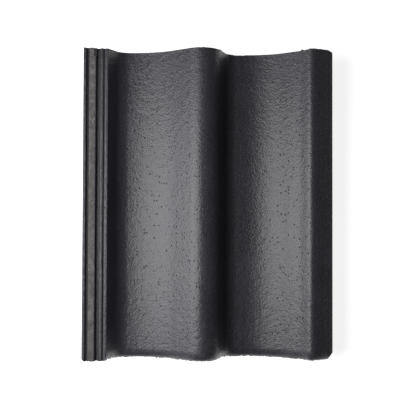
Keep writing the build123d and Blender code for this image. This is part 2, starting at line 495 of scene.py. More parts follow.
def row_stations():
    """Return the places along the tile, in millimetres, that get a row of points."""
    rows = [
        NOSE_LENGTH * (1 - math.cos(math.radians(90 * k / NOSE_ROWS)))
        for k in range(NOSE_ROWS + 1)
    ]
    exact = []
    for k in range(BAR_COUNT):
        start = BAR_START + k * BAR_PITCH
        end = start + BAR_WIDTH
        exact += [start, start + BAR_DRAFT, end - BAR_DRAFT, end]
    count = round((TILE_LENGTH - NOSE_LENGTH) / ROW_STEP)
    even = [
        NOSE_LENGTH + (TILE_LENGTH - NOSE_LENGTH) * k / count for k in range(1, count + 1)
    ]
    rows = [y for y in rows + even if all(abs(y - place) > BAR_DRAFT for place in exact)]
    return sorted(rows + exact)


def to_object(name, mesh):
    """Put a mesh in the scene under a name and return its object."""
    made = bpy.data.objects.new(name, mesh)
    bpy.context.scene.collection.objects.link(made)
    return made


def fringe_at(x, runs):
    """Return in metres how far an end's edge stands proud at a place across the tile."""
    total = 0
    for start, end, reach in runs:
        inside = min(x - start, end - x) / FRINGE_FADE
        total += reach * MM * min(1, max(0, inside))
    return total


def profile_object():
    """Return the closed section as a loop of edges, with the values the sweep needs."""
    points = section_points()
    mesh = bpy.data.meshes.new("section")
    verts = [(x * MM, -z * MM, 0) for _, x, z, _, _ in points]
    edges = [(i, (i + 1) % len(verts)) for i in range(len(verts))]
    mesh.from_pydata(verts, edges, [])
    kinds = {
        "nose_drop": "FLOAT", "bar_out": "FLOAT_VECTOR", "bare": "FLOAT",
        "fringe": "FLOAT_VECTOR", "painted_groove_shade": "FLOAT",
    }
    for name, kind in kinds.items():
        mesh.attributes.new(name, kind, "POINT")
    drop, bar, bare, fringe, painted_groove_shade = (mesh.attributes[name] for name in kinds)
    wave = sunk(dict(section_corners())["wave"], SHELL)
    bar_left, bar_right = wave[0][0], NEXT_EDGE - BAR_EDGE_GAP
    slopes = {}
    for name, x, z, nx, nz in points:
        if name in {"wave", "cap"} and nz > FACING_UP:
            slopes[x] = 1 / nz
    edge_x = max(slopes)
    edge_top = [z for name, x, z, _, _ in points if x == edge_x and name == "cap"][0]
    edge_bottom = min(z for name, x, z, _, _ in points if name == "side")
    for i, (name, x, z, nx, nz) in enumerate(points):
        if name in {"wave", "cap"} and x in slopes:
            drop.data[i].value = slopes[x]
        elif name in {"cap", "side"}:
            drop.data[i].value = slopes[edge_x] * (z - edge_bottom) / (edge_top - edge_bottom)
        if name == "under" and bar_left < x < bar_right:
            bar.data[i].vector = (nx, 0, nz)
        on_land = name == "lands" and LAND_START < x < LAND_START + LAND
        on_land = on_land and z > LAND_HEIGHT - LAND_EDGE
        bare.data[i].value = on_land or name in {"overlock", "under", "heel"}
        # Painted shade in the grooves: the coating gets darker below the rib tops, more left of the
        # land's middle
        if name in {"lands", "ribs"}:
            rib_top = LAND_HEIGHT if x < LAND_START + LAND + 1 else INNER_RIB_HEIGHT
            share = GROOVE_SHADE_LEFT if x < LAND_START + LAND / 2 else GROOVE_SHADE_RIGHT
            depth = (rib_top - z - GROOVE_SHADE_FROM) / GROOVE_SHADE_RUN
            painted_groove_shade.data[i].value = share * min(1, max(0, depth))
        if name in {"lands", "ribs", "wave", "cap"}:
            fringe.data[i].vector = (fringe_at(x, NOSE_FRINGE), fringe_at(x, HEAD_FRINGE), 1)
    return to_object("section", mesh)


def rail_object():
    """Return the line along the tile that the section is swept on."""
    rows = row_stations()
    mesh = bpy.data.meshes.new("rail")
    verts = [(0, y * MM, 0) for y in rows]
    mesh.from_pydata(verts, [(i, i + 1) for i in range(len(verts) - 1)], [])
    return to_object("rail", mesh)


def nib_object():
    """Return the two tapered hanging nibs as one mesh."""
    mesh = bpy.data.meshes.new("nibs")
    work = bmesh.new()
    corners = dict(section_corners())["wave"]
    trough_floors = [(corners[k][0] + corners[k + 1][0]) / 2 for k in (1, 4)]
    inset = NIB_DEPTH * math.tan(math.radians(NIB_DRAFT))
    for middle in trough_floors:
        rings = []
        for z, pull in ((-SHELL + NIB_ROOT, 0), (-SHELL, 0), (-SHELL - NIB_DEPTH, inset)):
            x0, x1 = middle - NIB_WIDTH / 2 + pull, middle + NIB_WIDTH / 2 - pull
            y0, y1 = HANG_LENGTH + pull, HANG_LENGTH + NIB_LENGTH - pull
            rings.append([
                work.verts.new((x * MM, y * MM, z * MM))
                for x, y in ((x0, y0), (x1, y0), (x1, y1), (x0, y1))
            ])
        for low, high in zip(rings[1:], rings):
            for k in range(4):
                work.faces.new((low[k], low[(k + 1) % 4], high[(k + 1) % 4], high[k]))
        work.faces.new(rings[0])
        work.faces.new(rings[-1][::-1])
    bmesh.ops.recalc_face_normals(work, faces=work.faces)
    upright = [
        edge for edge in work.edges
        if abs(edge.verts[0].co.z - edge.verts[1].co.z) > 0.5 * NIB_DEPTH * MM
    ]
    bmesh.ops.bevel(
        work, geom=upright, offset=NIB_CORNER_RADIUS * MM, segments=4, profile=0.5,
        affect="EDGES",
    )
    lowest = [
        edge for edge in work.edges
        if all(v.co.z < (-SHELL - NIB_DEPTH + 0.1) * MM for v in edge.verts)
    ]
    bmesh.ops.bevel(
        work, geom=lowest, offset=NIB_EDGE_RADIUS * MM, segments=3, profile=0.5, affect="EDGES",
    )
    work.to_mesh(mesh)
    work.free()
    leave_bare(mesh)
    return to_object("nibs", mesh)


def add_prism(work, outline, low, high):
    """Add an upright prism between two heights to a mesh that is being made."""
    rings = [
        [work.verts.new((x * MM, y * MM, z * MM)) for x, y in outline] for z in (low, high)
    ]
    count = len(outline)
    for k in range(count):
        ahead = (k + 1) % count
        work.faces.new((rings[0][k], rings[0][ahead], rings[1][ahead], rings[1][k]))
    work.faces.new(rings[0][::-1])
    work.faces.new(rings[1])


def break_object():
    """Return the pieces that are broken off the corners and out of the underlock."""
    mesh = bpy.data.meshes.new("broken pieces")
    work = bmesh.new()
    spare = BREAK_SPARE
    for x, y, run_x, run_y in BREAKS:
        inward_x = 1 if x == 0 else -1
        inward_y = 1 if y == 0 else -1
        slope = run_y / run_x
        outline = [
            (x - inward_x * spare, y - inward_y * spare),
            (x + inward_x * (run_x + spare / slope), y - inward_y * spare),
            (x - inward_x * spare, y + inward_y * (run_y + spare * slope)),
        ]
        add_prism(work, outline, 0, CREST_HEIGHT + spare)
    left, right, back, floor = NOTCH
    head = TILE_LENGTH + spare
    outline = [(left, back), (right, back), (right, head), (left, head)]
    add_prism(work, outline, floor, CREST_HEIGHT)
    bmesh.ops.recalc_face_normals(work, faces=work.faces)
    work.to_mesh(mesh)
    work.free()
    leave_bare(mesh)
    return to_object("broken pieces", mesh)


def leave_bare(mesh):
    """Mark every point of a mesh as bare concrete."""
    bare = mesh.attributes.new("bare", "FLOAT", "POINT")
    for item in bare.data:
        item.value = 1.0


def put(tree, socket, value):
    """Link an output to a socket, or set the socket's own value."""
    if isinstance(value, bpy.types.NodeSocket):
        tree.links.new(value, socket)
    else:
        socket.default_value = value


def node(tree, kind, sockets=(), **settings):
    """Add a node with its settings; sockets holds pairs of input and value."""
    made = tree.nodes.new(kind)
    for key, value in settings.items():
        setattr(made, key, value)
    for key, value in sockets:
        put(tree, made.inputs[key], value)
    return made


def maths(tree, operation, *values):
    """Add a math node and return its result."""
    return node(tree, "ShaderNodeMath", enumerate(values), operation=operation).outputs[0]


def product(tree, first, *others):
    """Multiply values one after another."""
    for other in others:
        first = maths(tree, "MULTIPLY", first, other)
    return first


def vector_maths(tree, operation, *values):
    """Add a vector math node and return its vector result."""
    made = node(tree, "ShaderNodeVectorMath", operation=operation)
    for key, value in enumerate(values):
        if operation == "SCALE" and key == 1:
            key = "Scale"
        put(tree, made.inputs[key], value)
    return made.outputs["Vector"]


def ramp(tree, value, start, end, low=0.0, high=1.0):
    """Return a value taken smoothly from low to high between two ends."""
    made = node(
        tree, "ShaderNodeMapRange",
        [("Value", value), ("From Min", start), ("From Max", end), ("To Min", low),
         ("To Max", high)],
        interpolation_type="SMOOTHSTEP",
    )
    return made.outputs["Result"]


def clamped(tree, value):
    """Return a value kept between 0 and 1."""
    return node(tree, "ShaderNodeClamp", [("Value", value)]).outputs[0]


def noise(tree, place, scale, detail, roughness, seed):
    """Add a noise texture and return its value."""
    made = node(
        tree, "ShaderNodeTexNoise",
        [("Vector", place), ("Scale", scale), ("Detail", detail), ("Roughness", roughness),
         ("W", seed)],
        noise_dimensions="4D",
    )
    return made.outputs[0]


def position(tree):
    """Return the place of each point."""
    return node(tree, "GeometryNodeInputPosition").outputs[0]


def parts_of(tree, vector):
    """Return the X, Y and Z of a vector."""
    return node(tree, "ShaderNodeSeparateXYZ", [(0, vector)]).outputs


def vector_of(tree, **parts):
    """Return a vector made of its X, Y and Z."""
    return node(tree, "ShaderNodeCombineXYZ", parts.items()).outputs[0]


def named(tree, name, kind="FLOAT"):
    """Return the value of a named attribute."""
    made = node(tree, "GeometryNodeInputNamedAttribute", [("Name", name)], data_type=kind)
    return made.outputs["Attribute"]


def between(tree, low, high, seed, kind="FLOAT"):
    """Return a random value between two ends."""
    made = node(tree, "FunctionNodeRandomValue", data_type=kind)
    for label, value in (("Min", low), ("Max", high)):
        put(tree, [s for s in made.inputs if s.name == label and s.enabled][0], value)
    put(tree, made.inputs["Seed"], seed)
    return [s for s in made.outputs if s.enabled][0]


def shape_of(tree, source):
    """Return the geometry of an object."""
    return node(tree, "GeometryNodeObjectInfo", [("Object", source)]).outputs["Geometry"]


def moved(tree, geometry, **how):
    """Move the points of a shape by an Offset or to a Position."""
    sockets = [("Geometry", geometry), *how.items()]
    return node(tree, "GeometryNodeSetPosition", sockets).outputs[0]


def cut(tree, body, tool):
    """Cut a shape out of a body."""
    made = node(tree, "GeometryNodeMeshBoolean", operation="DIFFERENCE", solver="MANIFOLD")
    tree.links.new(body, made.inputs["Mesh 1"])
    tree.links.new(tool, made.inputs["Mesh 2"])
    return made.outputs["Mesh"]


def ball(tree, subdivisions):
    """Return a ball of radius 1 with few faces."""
    sockets = [("Radius", 1.0), ("Subdivisions", subdivisions)]
    return node(tree, "GeometryNodeMeshIcoSphere", sockets).outputs["Mesh"]


def placed(tree, points, shape, **how):
    """Put a shape on each point, with its Rotation and Scale."""
    sockets = [("Points", points), ("Instance", shape), *how.items()]
    return node(tree, "GeometryNodeInstanceOnPoints", sockets).outputs[0]


def realized(tree, geometry):
    """Turn instances into real geometry."""
    return node(tree, "GeometryNodeRealizeInstances", [("Geometry", geometry)]).outputs[0]


def new_tree(name, kind, inputs, outputs):
    """Make a node group with named sockets and return it with its inputs and its outputs."""
    tree = bpy.data.node_groups.new(name, kind)
    for direction, sockets in (("INPUT", inputs), ("OUTPUT", outputs)):
        for label, socket_type, *default in sockets:
            made = tree.interface.new_socket(label, in_out=direction, socket_type=socket_type)
            if default:
                made.default_value = default[0]
    given, result = tree.nodes.new("NodeGroupInput"), tree.nodes.new("NodeGroupOutput")
    return tree, given.outputs, result.inputs


def shape_tree(name, **labels):
    """Make a geometry tree with inputs listed by kind; return it, its inputs and its end."""
    geometry = ("Geometry", "NodeSocketGeometry")
    inputs = [geometry]
    for kind, names in labels.items():
        inputs += [(label, "NodeSocket" + kind) for label in names]
    tree, value, result = new_tree(name, "GeometryNodeTree", inputs, [geometry])
    return tree, value, result["Geometry"]


def paint(tree, geometry, value, end):
    """Give a shape its material and end the tree."""
    sockets = [("Geometry", geometry), ("Material", value["Material"])]
    painted = node(tree, "GeometryNodeSetMaterial", sockets)
    tree.links.new(painted.outputs[0], end)


def lay_and_paint(tree, geometry, value, end):
    """Lay a shape down, keep it between the corners of its box, paint it and end the tree."""
    laid = node(
        tree, "GeometryNodeTransform",
        [("Geometry", geometry), ("Rotation", value["Laid down"]),
         ("Translation", value["Moved"])],
    ).outputs[0]
    kept = vector_maths(tree, "MAXIMUM", position(tree), value["Lowest"])
    kept = vector_maths(tree, "MINIMUM", kept, value["Highest"])
    paint(tree, moved(tree, realized(tree, laid), Position=kept), value, end)


def sweep_tree():
    """Sweep the section along the rail, round the nose, raise the bars and add the nibs."""
    tree, value, end = shape_tree(
        "tile sweep",
        Object=("Section", "Rail", "Nibs", "Broken corner"),
        Float=("Nose length", "Nose depth", "Bar start", "Bar pitch", "Bar width", "Bar depth",
               "Bar draft", "Bars end"),
        Material=("Material",),
    )
    profile, rail = (
        node(tree, "GeometryNodeMeshToCurve", [("Mesh", shape_of(tree, value[label]))]).outputs[0]
        for label in ("Section", "Rail")
    )
    swept = node(
        tree, "GeometryNodeCurveToMesh",
        [("Curve", rail), ("Profile Curve", profile), ("Fill Caps", True)],
    ).outputs[0]
    along = parts_of(tree, position(tree))["Y"]

    reach = maths(tree, "SUBTRACT", value["Nose length"], along)
    reach = clamped(tree, maths(tree, "DIVIDE", reach, value["Nose length"]))
    arc = maths(tree, "SQRT", maths(tree, "SUBTRACT", 1.0, product(tree, reach, reach)))
    fall = product(tree, maths(tree, "SUBTRACT", arc, 1.0), value["Nose depth"],
                   named(tree, "nose_drop"))
    rounded = moved(tree, swept, Offset=vector_of(tree, Z=fall))

    since = maths(tree, "SUBTRACT", along, value["Bar start"])
    local = maths(tree, "WRAP", since, value["Bar pitch"], 0.0)
    inside = maths(tree, "MINIMUM", local, maths(tree, "SUBTRACT", value["Bar width"], local))
    raised = product(
        tree, clamped(tree, maths(tree, "DIVIDE", inside, value["Bar draft"])),
        maths(tree, "LESS_THAN", along, value["Bars end"]),
        maths(tree, "GREATER_THAN", since, 0.0), value["Bar depth"],
    )
    lift = vector_maths(tree, "SCALE", named(tree, "bar_out", "FLOAT_VECTOR"), raised)
    barred = moved(tree, rounded, Offset=lift)

    joined = node(tree, "GeometryNodeMeshBoolean", operation="UNION", solver="MANIFOLD")
    broken = cut(tree, barred, shape_of(tree, value["Broken corner"]))
    tree.links.new(broken, joined.inputs["Mesh 2"])
    tree.links.new(shape_of(tree, value["Nibs"]), joined.inputs["Mesh 2"])
    paint(tree, realized(tree, joined.outputs["Mesh"]), value, end)
    return tree


def slice_flat_faces(mesh):
    """Cut the broad flat faces of the ends, the break and the nibs into a fine grid."""
    work = bmesh.new()
    work.from_mesh(mesh)
    broad = (BROAD_STEPS * END_STEP * MM) ** 2
    flat = [face for face in work.faces if len(face.verts) > 8 or face.calc_area() > broad]
    chosen = set(flat)
    for face in flat:
        chosen.update(face.edges)
        chosen.update(face.verts)
    chosen = list(chosen)
    lows = [min(v.co[axis] for v in work.verts) for axis in range(3)]
    highs = [max(v.co[axis] for v in work.verts) for axis in range(3)]
    for axis in (0, 2, 1):
        along = Vector([1 if axis == k else 0 for k in range(3)])
        count = int((highs[axis] - lows[axis]) / (END_STEP * MM))
        for k in range(1, count + 1):
            level = lows[axis] + (k - SLICE_SHARE) * END_STEP * MM
            near = [
                item for item in chosen
                if item.is_valid and spans(item, axis, level)
            ]
            if not near:
                continue
            cut = bmesh.ops.bisect_plane(
                work, geom=near, plane_co=along * level, plane_no=along, dist=1e-7,
            )
            known = set(near)
            chosen += [item for item in cut["geom"] if item not in known]
    bmesh.ops.triangulate(work, faces=[face for face in work.faces if len(face.verts) > 4])
    work.to_mesh(mesh)
    work.free()


def spans(item, axis, level):
    """Return whether a point, edge or face of a mesh reaches across a level."""
    if isinstance(item, bmesh.types.BMVert):
        return abs(item.co[axis] - level) < 1e-6
    places = [v.co[axis] for v in item.verts]
    return min(places) < level < max(places)


def pits_object():
    """Return the places of the pits that stand out, with their widths and depths."""
    mesh = bpy.data.meshes.new("pit places")
    mesh.from_pydata([(x * MM, y * MM, 2 * CREST_HEIGHT * MM) for x, y, _, _ in PITS], [], [])
    mesh.attributes.new("wide", "FLOAT", "POINT")
    mesh.attributes.new("deep", "FLOAT", "POINT")
    for k, (_, _, width, depth) in enumerate(PITS):
        mesh.attributes["wide"].data[k].value = width * MM
        mesh.attributes["deep"].data[k].value = depth * MM
    return to_object("pit places", mesh)


def relief_tree():
    """Give the casting its uneven face, chipped edges, rough ends and pits, and lay it down."""
    tree, value, end = shape_tree(
        "casting relief",
        Object=("Pit places",),
        Float=("Length", "Inset", "Unevenness", "Slurry texture", "Chips", "End roughness",
               "Pore spacing", "Pore density", "Pore radius", "Sharp above"),
        Int=("Seed",),
        Vector=("Laid down", "Moved", "Lowest", "Highest"),
        Material=("Material",),
    )
    place = position(tree)
    along = parts_of(tree, place)["Y"]
    facing = node(tree, "GeometryNodeInputNormal").outputs[0]
    facing_parts = parts_of(tree, facing)
    from_head = maths(tree, "SUBTRACT", value["Length"], along)

    swell, dimples, bites, rough, ragged = (
        noise(tree, place, *NOISES[name])
        for name in ("swell", "dimples", "bites", "rough", "ragged")
    )
    bites = ramp(tree, bites, 0.6, 0.76)
    edge = ramp(tree, maths(tree, "MINIMUM", along, from_head), 0.0, CHIP_REACH, 1.0, 0.0)
    depth = product(tree, swell, value["Unevenness"])
    depth = maths(tree, "MULTIPLY_ADD", dimples, value["Slurry texture"], depth)
    upright = ramp(tree, maths(tree, "ABSOLUTE", facing_parts["X"]), 0.8, 0.95, 1.0, 0.3)
    depth = product(tree, depth, upright)
    depth = maths(tree, "ADD", depth, product(tree, bites, edge, value["Chips"]))
    end_face = ramp(tree, maths(tree, "ABSOLUTE", facing_parts["Y"]), 0.75, 0.95)
    depth = maths(tree, "ADD", depth, product(tree, rough, end_face, value["End roughness"]))
    inward = vector_maths(tree, "SCALE", facing, product(tree, depth, -1.0))
    worn = moved(tree, value["Geometry"], Offset=inward)

    share = maths(tree, "DIVIDE", along, value["Length"])
    pull = product(tree, maths(tree, "MULTIPLY_ADD", share, -2.0, 1.0), value["Inset"])
    reach = parts_of(tree, named(tree, "fringe", "FLOAT_VECTOR"))
    ragged = product(tree, ramp(tree, ragged, 0.36, 0.6, 0.15, 1.0), reach["Z"])
    at_nose, at_head = (
        product(tree, ramp(tree, distance, 0.0, RAGGED_REACH, 1.0, 0.0), reach[axis])
        for distance, axis in ((along, "X"), (from_head, "Y"))
    )
    proud = product(tree, maths(tree, "SUBTRACT", at_head, at_nose), ragged)
    short = moved(tree, worn, Offset=vector_of(tree, Y=maths(tree, "ADD", pull, proud)))

    upward = maths(tree, "GREATER_THAN", facing_parts["Z"], 0.25)
    coated = maths(tree, "LESS_THAN", named(tree, "bare"), 0.5)
    scattered = node(
        tree, "GeometryNodeDistributePointsOnFaces",
        [("Mesh", short), ("Selection", product(tree, upward, coated)),
         ("Distance Min", value["Pore spacing"]), ("Density Max", value["Pore density"]),
         ("Seed", value["Seed"])],
        distribute_method="POISSON",
    ).outputs
    size = product(tree, between(tree, 0.45, 1.0, 3), value["Pore radius"])
    spread = between(tree, (0.75, 0.75, 0.5), (1.35, 1.35, 0.95), 5, "FLOAT_VECTOR")
    pores = placed(
        tree, scattered["Points"], ball(tree, 1), Rotation=scattered["Rotation"],
        Scale=vector_maths(tree, "SCALE", spread, size),
    )
    ray = node(
        tree, "GeometryNodeRaycast",
        [("Target Geometry", short), ("Ray Direction", (0.0, 0.0, -1.0)), ("Ray Length", 1.0)],
    )
    landed = moved(tree, shape_of(tree, value["Pit places"]), Position=ray.outputs["Hit Position"])
    half_width = product(tree, named(tree, "wide"), 0.5)
    pit_size = vector_of(
        tree, X=half_width, Y=product(tree, half_width, 0.8), Z=named(tree, "deep")
    )
    both = node(tree, "GeometryNodeJoinGeometry")
    tree.links.new(pores, both.inputs[0])
    tree.links.new(placed(tree, landed, ball(tree, 2), Scale=pit_size), both.inputs[0])
    pitted = cut(tree, short, realized(tree, both.outputs[0]))

    smooth = node(
        tree, "GeometryNodeSetShadeSmooth", [("Geometry", pitted), ("Shade Smooth", True)],
        domain="FACE",
    ).outputs[0]
    angle = node(tree, "GeometryNodeInputMeshEdgeAngle").outputs["Unsigned Angle"]
    sharp = maths(tree, "GREATER_THAN", angle, value["Sharp above"])
    crisp = node(
        tree, "GeometryNodeSetShadeSmooth",
        [("Geometry", smooth), ("Selection", sharp), ("Shade Smooth", False)], domain="EDGE",
    ).outputs[0]
    lay_and_paint(tree, crisp, value, end)
    return tree


def crumb_tree():
    """Scatter crumbs of concrete along the edges of a cut end, and lay them down."""
    tree, value, end = shape_tree(
        "edge crumbs",
        Object=("Section",),
        Float=("Nose depth", "End", "From", "To", "Spacing", "Crumb size", "Gathered"),
        Int=("Seed",),
        Vector=("Laid down", "Moved", "Lowest", "Highest"),
        Material=("Material",),
    )
    section = shape_of(tree, value["Section"])
    line = node(tree, "GeometryNodeMeshToCurve", [("Mesh", section)])
    dots = node(
        tree, "GeometryNodeCurveToPoints",
        [("Curve", line.outputs[0]), ("Length", value["Spacing"])], mode="LENGTH",
    ).outputs["Points"]
    parts = parts_of(tree, position(tree))
    drop = product(tree, named(tree, "nose_drop"), value["Nose depth"])
    height = product(tree, maths(tree, "ADD", parts["Y"], drop), -1.0)
    on_end = vector_of(tree, X=parts["X"], Y=value["End"], Z=height)
    stray = vector_maths(
        tree, "SCALE", between(tree, (-1, -1, -1), (1, 1, 1), 11, "FLOAT_VECTOR"),
        product(tree, value["Crumb size"], 0.2),
    )
    set_out = moved(tree, dots, Position=vector_maths(tree, "ADD", on_end, stray))
    clusters = noise(tree, on_end, *NOISES["clusters"])
    chance = ramp(tree, clusters, value["Gathered"], 0.75)
    lost = maths(tree, "GREATER_THAN", between(tree, 0.0, 1.0, value["Seed"]), chance)
    for operation, limit in (("LESS_THAN", "From"), ("GREATER_THAN", "To")):
        beyond = maths(tree, operation, parts["X"], value[limit])
        lost = maths(tree, "MAXIMUM", lost, beyond)
    kept = node(
        tree, "GeometryNodeDeleteGeometry", [("Geometry", set_out), ("Selection", lost)],
        domain="POINT",
    ).outputs[0]
    shape = position(tree)
    lump = maths(tree, "SUBTRACT", noise(tree, shape, *NOISES["lump"]), 0.5)
    crumb = moved(tree, ball(tree, 1), Offset=vector_maths(tree, "SCALE", shape, lump))
    size = product(tree, between(tree, 0.5, 1.0, 13), value["Crumb size"])
    spread = between(tree, (0.75, 0.7, 0.7), (1.5, 1.0, 1.1), 17, "FLOAT_VECTOR")
    turn = between(tree, (0, 0, 0), (6.283, 6.283, 6.283), 19, "FLOAT_VECTOR")
    crumbs = placed(
        tree, kept, crumb, Rotation=turn, Scale=vector_maths(tree, "SCALE", spread, size)
    )
    lay_and_paint(tree, crumbs, value, end)
    return tree


def made_by(tree, source, name, values):
    """Run a tree on a mesh with its inputs set and return the plain result as an object."""
    work = to_object(name, source)
    modifier = work.modifiers.new(tree.name, "NODES")
    modifier.node_group = tree
    for item in tree.interface.items_tree:
        if item.item_type == "SOCKET" and item.in_out == "INPUT" and item.name in values:
            modifier[item.identifier] = values[item.name]
    graph = bpy.context.evaluated_depsgraph_get()
    mesh = bpy.data.meshes.new_from_object(work.evaluated_get(graph))
    work.modifiers.remove(modifier)
    work.data = mesh
    mesh.name = name
    if not mesh.polygons:
        raise RuntimeError(name + " came out empty")
    return work


def clear(*objects):
    """Remove the objects that only served as inputs."""
    for used in objects:
        bpy.data.objects.remove(used)


def lay_down():
    """Return the turn and the shift that lay the tile as the frame has it."""
    low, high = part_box(NODE)
    turn_cos, turn_sin = math.cos(REST_ANGLE), math.sin(REST_ANGLE)
    across = (low[0] + high[0]) / 2 - TILE_WIDTH / 2 * MM
    head = (TILE_LENGTH * turn_cos + SHELL * turn_sin) * MM
    lowest = (BAR_START * turn_sin - (SHELL + BAR_DEPTH) * turn_cos) * MM
    return (REST_ANGLE, 0.0, 0.0), (across, high[1] - head, -lowest)


def laying():
    """Return the inputs that lay a piece down and keep it inside the node's box."""
    turn, shift = lay_down()
    lowest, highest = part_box(NODE)
    return {
        "Laid down": turn, "Moved": shift, "Lowest": tuple(lowest), "Highest": tuple(highest),
    }


def as_laid(point):
    """Return a point given in the section's frame, in metres, as the frame has it."""
    turn, shift = lay_down()
    return Matrix.Rotation(turn[0], 3, "X") @ Vector(point) + Vector(shift)


def grain_group():
    """Sand grain and pores of cast concrete: a height and two masks."""
    tree, value, result = new_tree(
        "concrete grain", "ShaderNodeTree",
        [("Vector", "NodeSocketVector"), ("Grain scale", "NodeSocketFloat", 470.0),
         ("Pore scale", "NodeSocketFloat", 300.0), ("Pore share", "NodeSocketFloat", 0.14)],
        [("Height", "NodeSocketFloat"), ("Pores", "NodeSocketFloat"),
         ("Speckle", "NodeSocketFloat")],
    )
    place, scale = value["Vector"], value["Grain scale"]
    coarse = noise(tree, place, product(tree, scale, 0.3), 2.0, 0.6, 1.0)
    fine = noise(tree, place, scale, 1.0, 0.5, 2.0)
    dust = noise(tree, place, scale, 3.0, 0.7, 3.0)
    cells = node(
        tree, "ShaderNodeTexVoronoi",
        [("Vector", place), ("Scale", value["Pore scale"]), ("Randomness", 1.0)],
    ).outputs
    chosen = node(tree, "ShaderNodeSeparateColor", [(0, cells["Color"])]).outputs[0]
    chosen = maths(tree, "LESS_THAN", chosen, value["Pore share"])
    pores = product(tree, ramp(tree, cells["Distance"], 0.06, 0.38, 1.0, 0.0), chosen)
    height = maths(tree, "ADD", product(tree, coarse, 0.75), product(tree, fine, 0.6))
    height = maths(tree, "SUBTRACT", height, product(tree, pores, 0.6))
    tree.links.new(height, result["Height"])
    tree.links.new(pores, result["Pores"])
    tree.links.new(ramp(tree, dust, 0.35, 0.68), result["Speckle"])
    return tree


def mottle_group():
    """Broad patches, middling patches and streaks that vary a finish over the surface."""
    tree, value, result = new_tree(
        "patches", "ShaderNodeTree",
        [("Vector", "NodeSocketVector"), ("Patch scale", "NodeSocketFloat", 18.0)],
        [("Broad", "NodeSocketFloat"), ("Middling", "NodeSocketFloat"),
         ("Streaks", "NodeSocketFloat")],
    )
    place, scale = value["Vector"], value["Patch scale"]
    drawn = vector_maths(tree, "MULTIPLY", place, (1.0, 0.1, 1.0))
    broad = noise(tree, place, scale, 2.0, 0.55, 5.0)
    middling = noise(tree, place, product(tree, scale, 6.0), 3.0, 0.6, 6.0)
    streaks = noise(tree, drawn, product(tree, scale, 9.0), 3.0, 0.6, 8.0)
    tree.links.new(ramp(tree, broad, 0.32, 0.68), result["Broad"])
    tree.links.new(ramp(tree, middling, 0.3, 0.7), result["Middling"])
    tree.links.new(ramp(tree, streaks, 0.3, 0.7), result["Streaks"])
    return tree


def finish_group(tree, name, make, *settings):
    """Place a shared group on Object coordinates, made the first time it is asked for."""
    group = bpy.data.node_groups.get(name) or make()
    place = node(tree, "ShaderNodeTexCoord").outputs["Object"]
    sockets = [("Vector", place), *settings]
    return node(tree, "ShaderNodeGroup", sockets, node_tree=group).outputs


def mixed(tree, share, first, second):
    """Mix two colours by a share."""
    made = node(tree, "ShaderNodeMix", data_type="RGBA")
    put(tree, made.inputs[0], share)
    for socket, colour in ((made.inputs[6], first), (made.inputs[7], second)):
        put(tree, socket, colour)
    return made.outputs[2]


def opaque(colour):
    """Return a colour with full alpha."""
    return (*colour, 1.0)


def new_material(name):
    """Return an empty node material with its tree and its shader."""
    material = bpy.data.materials.new(name)
    material.use_nodes = True
    return material, material.node_tree, material.node_tree.nodes["Principled BSDF"]


def bumped(tree, shader, height, strength, distance):
    """Let a height bump the surface of a shader."""
    bump = node(
        tree, "ShaderNodeBump",
        [("Strength", strength), ("Distance", distance), ("Height", height)],
    )
    put(tree, shader.inputs["Normal"], bump.outputs["Normal"])


def tile_material(finish):
    """Satin black coating over concrete that is left bare where the mask says so."""
    material, tree, shader = new_material("coated concrete")
    grain = finish_group(tree, "concrete grain", grain_group)
    patches = finish_group(tree, "patches", mottle_group)
    middling, speckle, pores = patches["Middling"], grain["Speckle"], grain["Pores"]
    bare, painted_groove_shade = (
        node(tree, "ShaderNodeAttribute", attribute_name=name).outputs["Fac"]
        for name in ("bare", "painted_groove_shade")
    )
    thin = product(tree, maths(tree, "ADD", patches["Broad"], patches["Streaks"]), 0.5)
    thin = maths(tree, "MULTIPLY_ADD", speckle, 0.6, product(tree, thin, 0.4))
    # Pores and the painted shade in the grooves darken the coating
    dark = maths(tree, "MAXIMUM", pores, painted_groove_shade)
    coat = mixed(tree, thin, opaque(finish.coating), opaque(finish.coating_dust))
    coat = mixed(tree, dark, coat, opaque(PORE_AND_GROOVE_SHADE))
    raw = mixed(tree, product(tree, middling, speckle), opaque(finish.bare_dark),
                opaque(finish.bare))
    raw = mixed(tree, pores, raw, opaque(BARE_PORE))
    bared = ramp(tree, maths(tree, "MULTIPLY_ADD", middling, 0.5, bare), 0.7, 0.95)
    put(tree, shader.inputs["Base Color"], mixed(tree, bared, coat, raw))
    satin = maths(tree, "MULTIPLY_ADD", thin, 0.1, 0.32)
    satin = maths(tree, "MULTIPLY_ADD", dark, 0.3, satin)
    dull = maths(tree, "ADD", satin, product(tree, bared, 0.4))
    put(tree, shader.inputs["Roughness"], dull)
    bumped(tree, shader, grain["Height"], 1.0, 0.00076)
    return material


def crumb_material(finish):
    """Concrete crumbs, partly covered by the coating."""
    material, tree, shader = new_material("crumbled concrete")
    grain = finish_group(tree, "concrete grain", grain_group)
    patches = finish_group(tree, "patches", mottle_group, ("Patch scale", 60.0))
    speckle = grain["Speckle"]
    covered = mixed(tree, speckle, opaque(finish.coating), opaque(finish.coating_dust))
    raw = mixed(tree, speckle, opaque(finish.bare_dark), opaque(finish.bare))
    share = product(tree, patches["Middling"], 0.5)
    put(tree, shader.inputs["Base Color"], mixed(tree, share, covered, raw))
    put(tree, shader.inputs["Roughness"], maths(tree, "MULTIPLY_ADD", share, 0.3, 0.5))
    bumped(tree, shader, grain["Height"], 0.5, 0.0003)
    return material


